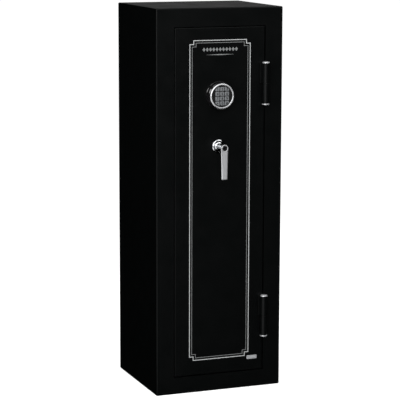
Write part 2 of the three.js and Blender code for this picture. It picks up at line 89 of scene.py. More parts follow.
LENS = 152.8  # mm
SENSOR = 36  # mm
FARTHEST = 60  # metres
CAMERA_AZIMUTH = math.radians(-21.17)
CAMERA_PITCH = math.radians(9.71)
CAMERA_ROLL = math.radians(0.157)
CAMERA_DISTANCE = 6.3075
CAMERA_ASIDE = 0.0053
CAMERA_DOWN = 0.0251


def place_camera():
    """Stands at a distance along `back` from the object's middle, moved aside and down. The roll
    gives right cos r + up sin r, and up cos r - right sin r."""
    camera = linked("camera", bpy.data.cameras.new("camera"))
    camera.data.lens = LENS
    camera.data.sensor_width = SENSOR
    camera.data.clip_end = FARTHEST
    back = Vector((
        math.sin(CAMERA_AZIMUTH) * math.cos(CAMERA_PITCH),
        -math.cos(CAMERA_AZIMUTH) * math.cos(CAMERA_PITCH),
        math.sin(CAMERA_PITCH),
    ))
    right = Vector((0, 0, 1)).cross(back).normalized()
    up = back.cross(right)
    cosine, sine = math.cos(CAMERA_ROLL), math.sin(CAMERA_ROLL)
    turned_right = right * cosine + up * sine
    turned_up = up * cosine - right * sine
    at = back * CAMERA_DISTANCE + right * CAMERA_ASIDE - up * CAMERA_DOWN
    at += Vector((0, 0, HEIGHT * MM / 2))
    turn = Matrix((turned_right, turned_up, back)).transposed()
    camera.matrix_world = Matrix.Translation(at) @ turn.to_4x4()
    bpy.context.scene.camera = camera


place_camera()

# --- material helpers


def linear(code):
    """An sRGB hex code such as "8f9194" as linear red, green and blue, with an alpha of one."""
    parts = [int(code[i:i + 2], 16) / 255 for i in (0, 2, 4)]
    return (*[p / 12.92 if p <= 0.04045 else ((p + 0.055) / 1.055) ** 2.4 for p in parts], 1.0)


def add(tree, kind, inputs=None, **settings):
    """Adds one node: settings are its own properties, inputs are values or sockets to link."""
    made = tree.nodes.new(kind)
    for name, value in settings.items():
        setattr(made, name, value)
    for name, value in (inputs or {}).items():
        if isinstance(value, bpy.types.NodeSocket):
            tree.links.new(value, made.inputs[name])
        else:
            made.inputs[name].default_value = value
    return made


def begin(name, colour, roughness, metallic=0.0, **sockets):
    """A Principled material with its uniform values on the shader's own sockets."""
    material = bpy.data.materials.new(name)
    material.use_nodes = True
    tree = material.node_tree
    shader = tree.nodes["Principled BSDF"]
    shader.inputs["Base Color"].default_value = linear(colour)
    shader.inputs["Roughness"].default_value = roughness
    shader.inputs["Metallic"].default_value = metallic
    for socket, value in sockets.items():
        shader.inputs[socket.replace("_", " ")].default_value = value
    place = add(tree, "ShaderNodeTexCoord").outputs["Object"]
    return material, tree, shader, place


def grain(tree, place, size, detail=2.0, stretch=(1, 1, 1)):
    """Noise whose features are about `size` mm, drawn out along an axis by `stretch`."""
    scaled = add(tree, "ShaderNodeMapping", {"Vector": place, "Scale": [1 / s for s in stretch]})
    inputs = {"Vector": scaled.outputs["Vector"], "Scale": 1 / (size * MM), "Detail": detail}
    return add(tree, "ShaderNodeTexNoise", inputs).outputs["Fac"]


def raise_by(tree, shader, height, millimetres, below=None):
    """Turns a 0 to 1 height into bump of that many millimetres, over another bump if given."""
    inputs = {"Height": height, "Distance": millimetres * MM, "Strength": 1.0}
    if below is not None:
        inputs["Normal"] = below
    bump = add(tree, "ShaderNodeBump", inputs).outputs["Normal"]
    tree.links.new(bump, shader.inputs["Normal"])
    return bump


def vary_gloss(tree, shader, value, low, high):
    """Lets the middle of a noise move the roughness from low to high."""
    inputs = {"Value": value, "From Min": 0.3, "From Max": 0.7, "To Min": low, "To Max": high}
    varied = add(tree, "ShaderNodeMapRange", inputs).outputs["Result"]
    tree.links.new(varied, shader.inputs["Roughness"])


# Places of a colour mix's sockets, whose names are not its own
MIX_FACTOR = 0
MIX_FIRST = 6
MIX_SECOND = 7
MIX_RESULT = 2


def vary_colour(tree, shader, factor, first, second):
    """Lets a factor from 0 to 1 move the colour between two hex values."""
    inputs = {MIX_FACTOR: factor, MIX_FIRST: linear(first), MIX_SECOND: linear(second)}
    mix = add(tree, "ShaderNodeMix", inputs, data_type="RGBA")
    tree.links.new(mix.outputs[MIX_RESULT], shader.inputs["Base Color"])


# --- materials


def powder_coat():
    """Satin black polyester powder on steel: baked powder flows out into a fine orange peel,
    which breaks up the edges of its soft reflections. A faint patchiness in gloss is cure."""
    material, tree, shader, place = begin("satin_black_powder_coat", "030404", 0.36, Specular_IOR_Level=0.13)
    peel = grain(tree, place, 1.6, 2)
    patches = grain(tree, place, 60, 2)
    vary_gloss(tree, shader, patches, 0.33, 0.41)
    raise_by(tree, shader, peel, 0.012)
    return material


def bright_chrome():
    """Chromium over nickel, polished before plating: a mirror with faint wiping marks in gloss."""
    material, tree, shader, place = begin("polished_chrome_plate", "c9cbcd", 0.1, 1.0)
    smears = grain(tree, place, 9, 3, (1, 1, 3))
    vary_gloss(tree, shader, smears, 0.06, 0.16)
    return material


def satin_chrome():
    """Chromium over a vapour-blasted ground, as on trim rings: bright and even, with soft highlights."""
    material, tree, shader, place = begin("satin_chrome_plate", "d2d3d5", 0.36, 0.85)
    blasted = grain(tree, place, 0.5, 2)
    vary_gloss(tree, shader, blasted, 0.32, 0.42)
    raise_by(tree, shader, blasted, 0.003)
    return material


def satin_nickel():
    """Cast zinc, linished down its length and plated satin nickel: an even pale grey whose fine
    lines stretch highlights along the lever."""
    material, tree, shader, place = begin("satin_nickel_plated_zinc", "c6c7c9", 0.55, 0.85)
    lines = grain(tree, place, 0.35, 2, (1, 1, 60))
    vary_gloss(tree, shader, lines, 0.5, 0.6)
    raise_by(tree, shader, lines, 0.004)
    return material


def zinc_plated_steel():
    """Sheet steel with bright zinc plate: grey with a slight blue, clouded where the bath left it."""
    material, tree, shader, place = begin("bright_zinc_plated_steel", "9a9fa5", 0.35, 1.0)
    clouds = grain(tree, place, 14, 3)
    vary_gloss(tree, shader, clouds, 0.26, 0.46)
    vary_colour(tree, shader, clouds, "8d9298", "a9adb2")
    raise_by(tree, shader, grain(tree, place, 0.8, 2), 0.004)
    return material


def gloss_abs():
    """Moulded black ABS from a polished tool: wet-looking highlights with a slight flow ripple."""
    material, tree, shader, place = begin("gloss_black_moulded_abs", "070708", 0.16, IOR=1.54)
    vary_gloss(tree, shader, grain(tree, place, 7, 2), 0.12, 0.2)
    raise_by(tree, shader, grain(tree, place, 5, 1), 0.01)
    return material


def matt_abs():
    """Black ABS from a spark-eroded tool: a fine even grain that kills the shine."""
    material, tree, shader, place = begin("matt_black_moulded_abs", "090909", 0.42, IOR=1.5)
    raise_by(tree, shader, grain(tree, place, 0.6, 2), 0.02)
    return material


def silicone_key():
    """Grey moulded silicone rubber: soft sheen, slightly darker where fingers polish it."""
    material, tree, shader, place = begin("grey_silicone_rubber", "4e5052", 0.5, IOR=1.43)
    worn = grain(tree, place, 6, 2)
    vary_colour(tree, shader, worn, "494b4d", "545658")
    raise_by(tree, shader, grain(tree, place, 0.5, 2), 0.008)
    return material


def printed_ink(name, colour, metallic, roughness):
    """Screen-printed ink: flat colour with the slight unevenness of a mesh stencil."""
    material, tree, shader, place = begin(name, colour, roughness, metallic)
    weave = grain(tree, place, 0.5, 2)
    vary_gloss(tree, shader, weave, roughness - 0.05, roughness + 0.08)
    raise_by(tree, shader, weave, 0.01)
    return material


def brushed_aluminium():
    """Rolled aluminium tag, brushed crossways: fine level lines that smear highlights upright."""
    material, tree, shader, place = begin("brushed_aluminium_tag", "b9bbbe", 0.5, 0.7)
    lines = grain(tree, place, 0.3, 2, (50, 1, 1))
    vary_gloss(tree, shader, lines, 0.45, 0.58)
    raise_by(tree, shader, lines, 0.006)
    return material


def needled_carpet(name, dark, light):
    """Needle-punched polyester carpet: short fibres lying every way, so it scatters light softly,
    with flecks where fibres of two greys show."""
    material, tree, shader, place = begin(
        name, dark, 0.95, Sheen_Weight=0.35, Sheen_Roughness=0.5, Specular_IOR_Level=0.2)
    fibres = grain(tree, place, 1.4, 5)
    flecks = grain(tree, place, 3.5, 4)
    inputs = {"Value": flecks, "From Min": 0.38, "From Max": 0.62, "To Min": 0, "To Max": 1}
    crisp = add(tree, "ShaderNodeMapRange", inputs).outputs["Result"]
    vary_colour(tree, shader, crisp, dark, light)
    tangle = raise_by(tree, shader, grain(tree, place, 5, 3), 0.5)
    raise_by(tree, shader, fibres, 0.7, tangle)
    return material


def gypsum_board():
    """Paper-faced gypsum fireboard: warm off-white card with long soft fibres in its face."""
    material, tree, shader, place = begin("paper_faced_gypsum_board", "cfc8b8", 0.85)
    fibres = grain(tree, place, 2, 4, (1, 1, 8))
    vary_colour(tree, shader, fibres, "c3bba9", "d9d3c5")
    raise_by(tree, shader, fibres, 0.05)
    return material


def closed_cell_foam():
    """Charcoal EVA foam cut from a block: tiny open half-bubbles all over the cut faces, each darker towards
    its middle with painted shade.
    """
    material, tree, shader, place = begin("charcoal_eva_foam", "26272a", 0.85, Specular_IOR_Level=0.3)
    inputs = {"Vector": place, "Scale": 1 / (1.8 * MM)}
    cells = add(tree, "ShaderNodeTexVoronoi", inputs).outputs["Distance"]
    # The colour darkens towards each cell's middle, where the bump sinks in: painted shade in the bubbles'
    # hollows.
    vary_colour(tree, shader, cells, "1f2023", "313236")
    raise_by(tree, shader, cells, 0.25)
    return material


def heat_seal_strip():
    """Graphite seal that swells in a fire: dull black with a slight rolled grain."""
    material, tree, shader, place = begin("graphite_heat_seal", "141415", 0.7)
    raise_by(tree, shader, grain(tree, place, 0.9, 3), 0.05)
    return material


COPPER_BAND = 12.0  # height of the band on the battery's upper end


def battery_jacket():
    """Printed steel battery jacket: black with a copper band at its upper end."""
    material, tree, shader, place = begin("printed_battery_jacket", "101114", 0.3, 0.6)
    apart = add(tree, "ShaderNodeSeparateXYZ", {"Vector": place})
    band_low = (ends("battery")[1][2] - COPPER_BAND) * MM
    above = add(tree, "ShaderNodeMath", {0: apart.outputs["Z"], 1: band_low}, operation="GREATER_THAN")
    vary_colour(tree, shader, above.outputs[0], "101114", "8a5a2b")
    raise_by(tree, shader, grain(tree, place, 1.2, 2), 0.01)
    return material


POWDER = powder_coat()
CHROME = bright_chrome()
SATIN_CHROME = satin_chrome()
NICKEL = satin_nickel()
ZINC = zinc_plated_steel()
GLOSS = gloss_abs()
MATT = matt_abs()
SILICONE = silicone_key()
SILVER_INK = printed_ink("silver_metallic_ink", "9c9e9e", 0.35, 0.5)
GREY_INK = printed_ink("grey_metallic_ink", "6a6c6c", 0.35, 0.5)
BLACK_INK = printed_ink("black_pad_ink", "17181a", 0.0, 0.6)
TAG = brushed_aluminium()
CARPET = needled_carpet("charcoal_needled_carpet", "26282b", "3d4044")
LINING = needled_carpet("grey_needled_lining", "2e3033", "474a4e")
BOARD = gypsum_board()
FOAM = closed_cell_foam()
SEAL = heat_seal_strip()
JACKET = battery_jacket()

# --- shape helpers

SMOOTH_BELOW = math.radians(38)
BEVEL_ABOVE = math.radians(40)
FLAT_BELOW = math.radians(1)
ARC_STEPS = 6
EDGE_SHARE = 0.49  # the most of an edge that one arc may take
POINT_SIZE = 1e-6  # millimetres, under which a row has drawn in to a point
MERGE = 1e-6  # metres, within which two points are one
CAD_MERGE = 2e-6
FINE_MERGE = 1e-7
TINY = 1e-12


def eased(points, radius, steps=ARC_STEPS, closed=True):
    """An outline whose corners are arcs. Each arc leaves and meets its two edges at radius over
    the tangent of half the corner's angle, and is the rational curve
    ((1-t)^2 a + 2wt(1-t) corner + t^2 b) / ((1-t)^2 + 2wt(1-t) + t^2), w the cosine of half the turn."""
    points = np.asarray(points, float)
    radius = np.broadcast_to(np.asarray(radius, float), len(points)).copy()
    if not closed:
        radius[[0, -1]] = 0
    before = np.roll(points, 1, 0) - points
    after = np.roll(points, -1, 0) - points
    lengths = np.minimum(np.linalg.norm(before, axis=1), np.linalg.norm(after, axis=1))
    before /= np.linalg.norm(before, axis=1, keepdims=True) + TINY
    after /= np.linalg.norm(after, axis=1, keepdims=True) + TINY
    turn = np.arccos(np.clip(-(before * after).sum(1), -1, 1))
    cut = np.minimum(radius * np.tan(turn / 2), lengths * EDGE_SHARE)
    weight = np.cos(turn / 2)[:, None, None]
    t = np.linspace(0, 1, steps + 1)[None, :, None]
    corner = points[:, None, :]
    start = corner + (before * cut[:, None])[:, None, :]
    end = corner + (after * cut[:, None])[:, None, :]
    top = (1 - t) ** 2 * start + 2 * weight * t * (1 - t) * corner + t ** 2 * end
    return (top / ((1 - t) ** 2 + 2 * weight * t * (1 - t) + t ** 2)).reshape(-1, 2)


def mitred(points, inset):
    """A closed counter-clockwise outline moved inwards: each corner goes along the sum of its two
    edges' inward normals, divided by one plus their dot product."""
    points = np.asarray(points, float)
    edge = np.roll(points, -1, 0) - points
    edge /= np.linalg.norm(edge, axis=1, keepdims=True)
    normal = np.stack([-edge[:, 1], edge[:, 0]], 1)
    before = np.roll(normal, 1, 0)
    return points + inset * (normal + before) / (1 + (normal * before).sum(1, keepdims=True))


def rectangle(left, right, low, high):
    """A rectangle's corners, counter-clockwise from the lower left."""
    return np.array([[left, low], [right, low], [right, high], [left, high]], float)


def quarter(radius, steps=ARC_STEPS):
    """Inset and rise along a rounded edge: radius (1 - sin a), radius (1 - cos a), a from 0 to 90."""
    a = np.linspace(0, math.pi / 2, steps + 1)
    return list(zip(radius * (1 - np.sin(a)), radius * (1 - np.cos(a))))


def merged(mesh, distance, thin=False, flatten=False):
    """Merges a mesh's doubles, then turns its faces outwards, or joins its flat triangles, which
    point the right way already."""
    work = bmesh.new()
    work.from_mesh(mesh)
    bmesh.ops.remove_doubles(work, verts=work.verts, dist=distance)
    if thin:
        bmesh.ops.dissolve_degenerate(work, dist=FINE_MERGE, edges=work.edges)
    if flatten:
        bmesh.ops.dissolve_limit(work, angle_limit=FLAT_BELOW, verts=work.verts, edges=work.edges)
    else:
        bmesh.ops.recalc_face_normals(work, faces=work.faces)
    work.to_mesh(mesh)
    work.free()


def mesh_object(name, vertices, faces, material, flat_first=True):
    """A mesh in millimetres made an object in metres, with doubles merged and normals outward."""
    mesh = bpy.data.meshes.new(name)
    mesh.from_pydata((np.asarray(vertices) * MM).tolist(), [], faces)
    merged(mesh, MERGE, thin=True)
    return finished(name, mesh, material, flat_first)


def finished(name, mesh, material, flat_first=True):
    """An object from a mesh, smooth but for its sharp edges. With flat_first its large flat faces
    lead the shading."""
    mesh.polygons.foreach_set("use_smooth", np.ones(len(mesh.polygons), bool))
    mesh.set_sharp_from_angle(angle=SMOOTH_BELOW)
    mesh.materials.clear()
    mesh.materials.append(material)
    piece = linked(name, mesh)
    if flat_first:
        weighted = piece.modifiers.new("flat_faces_lead", "WEIGHTED_NORMAL")
        weighted.keep_sharp = True
    return piece


def grid_faces(rows, columns, wrap_rows, start=0):
    """Quads between the rows of a grid whose columns close on themselves."""
    r = np.arange(rows if wrap_rows else rows - 1)[:, None]
    c = np.arange(columns)[None, :]
    across, down = (c + 1) % columns, (r + 1) % rows
    quads = np.stack([r * columns + c, r * columns + across, down * columns + across, down * columns + c], -1)
    return (quads.reshape(-1, 4) + start).tolist()


def surface(name, shells, material, wrap_rows=False, **more):
    """One object from one or more grids [rows, columns, 3], each closed round its columns. Open
    end rows are capped with one face each, unless they have drawn in to a point."""
    vertices, faces, start = [], [], 0
    for shell in shells:
        rows, columns = shell.shape[:2]
        faces += grid_faces(rows, columns, wrap_rows, start)
        for row in (0, rows - 1):
            if not wrap_rows and np.ptp(shell[row], axis=0).max() > POINT_SIZE:
                faces.append((np.arange(columns) + start + row * columns).tolist())
        vertices.append(shell.reshape(-1, 3))
        start += rows * columns
    return mesh_object(name, np.concatenate(vertices), faces, material, **more)


def upright(outline, depth):
    """An outline in x and z as a row of points at one depth y."""
    return np.stack([outline[:, 0], np.full(len(outline), depth), outline[:, 1]], 1)


def loop_at(corners, inset, radius, depth):
    """An outline moved inwards, its corners eased, at one depth y."""
    return upright(eased(mitred(corners, inset), radius), depth)


def slab_rows(corners, corner_radius, front, back, front_edge=0.0, back_edge=0.0, steps=ARC_STEPS):
    """Rows of a plate facing -y: its outline, with eased corners, carried along an edge profile
    that is rounded at the front and at the back."""
    radii = np.broadcast_to(np.asarray(corner_radius, float), len(corners))
    profile = [(inset, front + rise) for inset, rise in quarter(front_edge, steps)]
    profile += [(inset, back - rise) for inset, rise in reversed(quarter(back_edge, steps))]
    return np.stack([loop_at(corners, i, np.maximum(radii - i, 0), depth) for i, depth in profile])


def lathe_rows(profile, centre, axis="y", sides=64):
    """A profile of [radius, distance along the axis] turned about an axis through centre:
    (radius cos a, distance, radius sin a), its axes then named x, y and z in turn."""
    profile = np.asarray(profile, float)
    a = np.linspace(0, 2 * math.pi, sides, endpoint=False)
    r, along = profile[:, :1], np.broadcast_to(profile[:, 1:], (len(profile), sides))
    across = [r * np.cos(a), r * np.sin(a)]
    order = {"x": (along, across[0], across[1]), "y": (across[0], along, across[1]), "z": (*across, along)}
    return np.stack(order[axis], -1) + np.asarray(centre, float)


def settle(piece, body, slot, *nodes):
    """Rides the piece on a body and lets it stand for CAD nodes, which it hides. The slot is not used."""
    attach(piece, body)
    if nodes:
        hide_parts(*nodes)


def refined(node, body, slot, material, edge):
    """A CAD node's own shape, merged, its flat triangles joined, and its edges rounded."""
    mesh = bpy.data.meshes.new_from_object(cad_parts[node])
    mesh.name = node + "_finished"
    merged(mesh, CAD_MERGE, flatten=True)
    piece = finished(mesh.name, mesh, material, flat_first=False)
    bevel = piece.modifiers.new("rounded_edges", "BEVEL")
    bevel.width = edge * MM
    bevel.segments = 2
    bevel.limit_method = "ANGLE"
    bevel.angle_limit = BEVEL_ABOVE
    bevel.harden_normals = True
    settle(piece, body, slot, node)


def coated(node, material):
    """Gives a CAD node that keeps its shape a better material."""
    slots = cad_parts[node].data.materials
    slots.clear()
    slots.append(material)


# --- cabinet

CASE_EDGE = 4.0  # outside bend of the sheet at the front, and the dressed welds elsewhere
JAMB_EDGE = 1.6


def cabinet_case():
    """Sheet-steel case and front frame as one dressed skin: rounded rectangles in x and z, from
    the back of the jamb lip forward, round onto the face, out, round onto the sides, back, round
    onto the rear, and home along the inside of the sheet."""
    outer = rectangle(CASE_LOW[0], CASE_HIGH[0], CASE_LOW[2], CASE_HIGH[2])
    jamb = rectangle(JAMB_LEFT, JAMB_RIGHT, JAMB_LOW, JAMB_HIGH)
    centre = outer.mean(0) + np.zeros((4, 2))

    rows = [loop_at(jamb, -SHEET, 0, LIP_BACK), loop_at(jamb, 0, 0, LIP_BACK)]
    rows += [loop_at(jamb, -JAMB_EDGE + i, 0, FACE + d) for i, d in reversed(quarter(JAMB_EDGE))]
    rows += [loop_at(outer, i, max(CASE_EDGE - i, 0), FACE + d) for i, d in quarter(CASE_EDGE)]
    rows += [loop_at(outer, i, max(CASE_EDGE - i, 0), REAR - d) for i, d in reversed(quarter(CASE_EDGE))]
    rows += [upright(eased(centre, 0), REAR), upright(eased(centre, 0), REAR - SHEET)]
    rows += [loop_at(outer, SHEET, CASE_EDGE - SHEET, depth) for depth in (REAR - SHEET, FACE + SHEET)]
    rows += [loop_at(jamb, -SHEET, 0, FACE + SHEET)]
    return surface("cabinet_case", [np.stack(rows)], POWDER, wrap_rows=True)


settle(cabinet_case(), "cabinet", "powder_coat", "body_wrap", "top_wall", "bottom_wall",
       "left_stile", "right_stile", "header_rail", "sill_rail")


CARPET_PILE = 2.6
CARPET_GRID = 9.0  # spacing of the points
WAVE_PEAK = 1.5  # the most that the two waves add up to
RIM_DROP = 0.6  # share of the thickness by which the rim falls away


def rippled_panel(name, node, face_axis, face_sign, thickness, ripple, material):
    """A carpet sheet on one face of a board: a grid over the face with a flat back. Its height is
    thickness - ripple (1 + wave / peak) / 2, less a drop at the rim, and the wave is
    sin(u/a) sin(v/b) plus half of one like it at about a third of the length."""
    low, high = ends(node)
    spans = [i for i in range(3) if i != face_axis]
    counts = [max(int((high[i] - low[i]) / CARPET_GRID), 4) for i in spans]
    lines = [np.linspace(low[i], high[i], n) for i, n in zip(spans, counts)]
    u, v = np.meshgrid(*lines, indexing="ij")
    rim = np.minimum(np.minimum(u - u.min(), u.max() - u), np.minimum(v - v.min(), v.max() - v))
    long_wave = np.sin(u / 23 + 0.7) * np.sin(v / 31 + 0.3)
    short_wave = 0.5 * np.sin(u / 7.3 + v / 11) * np.sin(v / 8.1)
    wave = long_wave + short_wave
    fall = np.where(rim < POINT_SIZE, thickness * RIM_DROP, 0)
    height = thickness - ripple * (1 + wave / WAVE_PEAK) / 2 - fall
    face = high[face_axis] if face_sign > 0 else low[face_axis]
    top, bottom = np.zeros((*u.shape, 3)), np.zeros((*u.shape, 3))
    for sheet, lift in ((top, height), (bottom, np.zeros_like(u))):
        sheet[..., spans[0]], sheet[..., spans[1]] = u, v
        sheet[..., face_axis] = face + face_sign * (lift - thickness)
    n, m = u.shape
    index = np.arange(n * m).reshape(n, m)
    quads = np.stack([index[:-1, :-1], index[1:, :-1], index[1:, 1:], index[:-1, 1:]], -1).reshape(-1, 4)
    loop = np.concatenate([index[:-1, 0], index[-1, :-1], index[:0:-1, -1], index[0, :0:-1]])
    ahead = np.roll(loop, -1)
    rim_quads = np.stack([loop, ahead, ahead + n * m, loop + n * m], -1)
    faces = np.concatenate([quads, quads[:, ::-1] + n * m, rim_quads]).tolist()
    vertices = np.concatenate([top.reshape(-1, 3), bottom.reshape(-1, 3)])
    return mesh_object(name, vertices, faces, material, flat_first=False)


BOARD_EDGE = 0.8


def lined_board(node, face_axis, face_sign):
    """A fireboard, thinned by the carpet bonded to its inner side, and that carpet."""
    low, high = ends(node)
    core_low, core_high = low.copy(), high.copy()
    if face_sign > 0:
        core_high[face_axis] -= CARPET_PILE
    else:
        core_low[face_axis] += CARPET_PILE
    corners = rectangle(core_low[0], core_high[0], core_low[2], core_high[2])
    rows = slab_rows(corners, BOARD_EDGE, core_low[1], core_high[1], BOARD_EDGE, BOARD_EDGE, steps=3)
    settle(surface(node + "_core", [rows], BOARD), "cabinet", "fireboard", node)
    sheet = rippled_panel(node + "_carpet", node, face_axis, face_sign, CARPET_PILE, 0.7, CARPET)
    settle(sheet, "cabinet", "carpet")


lined_board("left_fireboard", 0, 1)
lined_board("right_fireboard", 0, -1)
lined_board("rear_fireboard", 1, -1)
lined_board("ceiling_fireboard", 2, -1)
FLOOR_PAD = 6
floor_carpet = rippled_panel("floor_pad_carpet", "floor_pad", 2, 1, FLOOR_PAD, 1.0, CARPET)
settle(floor_carpet, "cabinet", "carpet", "floor_pad")


def carpeted_shelf():
    """Shelf board wrapped in carpet: a plate whose edges are fully rounded by the wrap."""
    low, high = ends("shelf")
    half = (high[2] - low[2]) / 2
    corners = rectangle(low[0], high[0], low[1], high[1])
    lying = slab_rows(corners, 6, low[2], high[2], half * 0.9, half * 0.9)
    return surface("carpeted_shelf", [lying[..., [0, 2, 1]]], LINING)


settle(carpeted_shelf(), "cabinet", "carpeted_board", "shelf")
refined("shelf_support", "cabinet", "powder_coat", POWDER, 0.5)
refined("barrel_rest", "cabinet", "foam", FOAM, 2.5)
refined("jamb_seal", "cabinet", "seal_rubber", SEAL, 0.2)

# --- door

DOOR_EDGE = 2.2
STEEL = 2.5


def door_skin():
    """Door pan of folded sheet: rounded rectangles from the middle of the face out, round the
    folded edge, back along the flange, and home along its inside."""
    outer = rectangle(DOOR_LOW[0], DOOR_HIGH[0], DOOR_LOW[2], DOOR_HIGH[2])
    centre = outer.mean(0) + np.zeros((4, 2))
    front, back, inside = DOOR_LOW[1], DOOR_HIGH[1], DOOR_LOW[1] + STEEL
    rows = [upright(eased(centre, 0), front)]
    rows += [loop_at(outer, i, max(DOOR_EDGE - i, 0), front + rise) for i, rise in quarter(DOOR_EDGE)]
    rows += [loop_at(outer, 0, DOOR_EDGE, back)]
    rows += [loop_at(outer, STEEL, 0.5, depth) for depth in (back, inside)]
    rows += [upright(eased(centre, 0), inside)]
    return surface("door_skin", [np.stack(rows)], POWDER, wrap_rows=True)


settle(door_skin(), "door", "powder_coat", "door_shell")

# Pinstripe: two lines of ink with a square step cut into each corner
STRIPE_SIDE = 54.5  # from the door's edge to the outer line
STRIPE_TOP = 43.5
STRIPE_BOTTOM = 53.5
STEP_WIDE = 14.5
STEP_HIGH = 13.5
INK = 0.25
OUTER_INSET = 0.4
OUTER_WIDTH = 2.8
INNER_INSET = 9.6
INNER_WIDTH = 1.8


def stepped_outline():
    """Counter-clockwise outline of the stripe's outer edge: a rectangle whose corners are
    stepped in by STEP_WIDE and STEP_HIGH."""
    left, right = DOOR_LOW[0] + STRIPE_SIDE, DOOR_HIGH[0] - STRIPE_SIDE
    low, high = DOOR_LOW[2] + STRIPE_BOTTOM, DOOR_HIGH[2] - STRIPE_TOP
    x = np.array([left, left + STEP_WIDE, right - STEP_WIDE, right])
    z = np.array([low, low + STEP_HIGH, high - STEP_HIGH, high])
    steps = [(1, 1), (1, 0), (2, 0), (2, 1), (3, 1), (3, 2), (2, 2), (2, 3), (1, 3), (1, 2), (0, 2), (0, 1)]
    return np.array([[x[i], z[j]] for i, j in steps])


def pinstripe(name, inset, width, material):
    """A flat line of ink: the outline at two insets, at the paint and a hair above it."""
    low, high = DOOR_LOW[1], DOOR_LOW[1] - INK
    outline = stepped_outline()
    rows = [
        upright(mitred(outline, inset), low), upright(mitred(outline, inset), high),
        upright(mitred(outline, inset + width), high), upright(mitred(outline, inset + width), low),
    ]
    return surface(name, [np.stack(rows)], material, wrap_rows=True)


settle(pinstripe("pinstripe_outer", OUTER_INSET, OUTER_WIDTH, SILVER_INK), "door", "blank_plate")
settle(pinstripe("pinstripe_inner", INNER_INSET, INNER_WIDTH, GREY_INK), "door", "blank_plate")

# Plain ornament at the top of the door
ORNAMENT_HALF = 68.0
ORNAMENT_DROP = 78.0  # from the door's top edge to the lozenges' middle
LOZENGES = 11
LOZENGE_HIGH = 7.5
LOZENGE_WIDE = 0.46  # half a lozenge's width as a share of their pitch
BAR_DROP = 18.5
BAR_WIDE = 0.85  # the bar's width as a share of the ornament's
BAR_HALF = 1.9
PRINT_EDGE = 0.1


def ornament():
    """A row of lozenges at an even pitch, over a slim bar that tapers from its middle to each end."""
    pitch = 2 * ORNAMENT_HALF / LOZENGES
    top = DOOR_HIGH[2] - ORNAMENT_DROP
    shells = []
    for i in range(LOZENGES):
        x = (i - (LOZENGES - 1) / 2) * pitch
        half = pitch * LOZENGE_WIDE
        corners = np.array([
            [x, top - LOZENGE_HIGH], [x + half, top], [x, top + LOZENGE_HIGH], [x - half, top],
        ])
        shells.append(slab_rows(corners, 0.6, DOOR_LOW[1] - INK, DOOR_LOW[1], PRINT_EDGE, 0, steps=2))
    low = top - BAR_DROP
    bar = np.array([
        [-ORNAMENT_HALF * BAR_WIDE, low], [0, low - BAR_HALF],
        [ORNAMENT_HALF * BAR_WIDE, low], [0, low + BAR_HALF],
    ])
    shells.append(slab_rows(bar, 0.2, DOOR_LOW[1] - INK, DOOR_LOW[1], PRINT_EDGE, 0, steps=2))
    return surface("printed_ornament", shells, GREY_INK)


settle(ornament(), "door", "blank_plate")


TAG_CORNER = 1.2
TAG_EDGE = 0.25
FRAME_OUTER = 2.6
FRAME_INNER = 3.4
FRAME_RISE = 0.06


def blank_tag():
    """Small blank tag with rounded corners, and a darker printed frame just inside its rim."""
    low, high = ends("blank_plate")
    corners = rectangle(low[0], high[0], low[2], high[2])
    tag = surface("blank_tag", [slab_rows(corners, TAG_CORNER, low[1], high[1], TAG_EDGE, 0)], TAG)
    settle(tag, "door", "blank_plate", "blank_plate")
    base, top = low[1], low[1] - FRAME_RISE
    section = ((FRAME_OUTER, base), (FRAME_OUTER, top), (FRAME_INNER, top), (FRAME_INNER, base))
    rows = [loop_at(corners, inset, 0.8, depth) for inset, depth in section]
    settle(surface("blank_tag_frame", [np.stack(rows)], GREY_INK, wrap_rows=True), "door", "blank_plate")


blank_tag()

# Inner side of the door
refined("door_fireboard", "door", "fireboard", BOARD, 0.5)
refined("bolt_work_box", "door", "zinc_plate", POWDER, 1.0)
refined("lock_case", "door", "zinc_plate", ZINC, 1.0)
refined("guide_stud_upper", "door", "zinc_plate", ZINC, 0.3)
refined("guide_stud_lower", "door", "zinc_plate", ZINC, 0.3)
refined("bolt_bar", "bolt_work", "zinc_plate", ZINC, 0.4)
refined("handle_cam", "handle", "zinc_plate", ZINC, 0.4)
refined("spindle", "handle", "zinc_plate", ZINC, 0.3)
refined("lock_plunger", "lock_plunger", "chrome_plate", CHROME, 0.4)
coated("keypad_cable", MATT)


BOLT_CHAMFER = 2.2
BOLT_SIDES = 48


def bolt(node, body, tip_sign):
    """Turned steel bolt: a cylinder along x with a chamfered nose."""
    low, high = ends(node)
    centre = (low + high) / 2
    radius = (high[2] - low[2]) / 2
    nose, tail = (low[0], high[0]) if tip_sign < 0 else (high[0], low[0])
    profile = eased([
        [0, nose], [radius - BOLT_CHAMFER, nose], [radius, nose - tip_sign * BOLT_CHAMFER],
        [radius, tail], [0, tail],
    ], [0, 0.8, 0.8, 0.4, 0], closed=False)
    rows = lathe_rows(profile, (0, centre[1], centre[2]), "x", BOLT_SIDES)
    settle(surface(node + "_turned", [rows], CHROME, flat_first=False), body, "chrome_plate", node)


for place in ("upper", "middle", "lower"):
    bolt(f"live_bolt_{place}", "bolt_work", -1)
for place in ("upper", "lower"):
    bolt(f"dead_bolt_{place}", "door", 1)

CUP_WASHER = 6.0  # radius
CUP_WALL = 0.8
CUP_CREST = 0.75
SCREW_HEAD = 2.4  # radius
SCREW_SUNK = 0.2
WASHER_SIDES = 24
SCREW_MARGIN = 16.0
SCREW_ROWS = 5


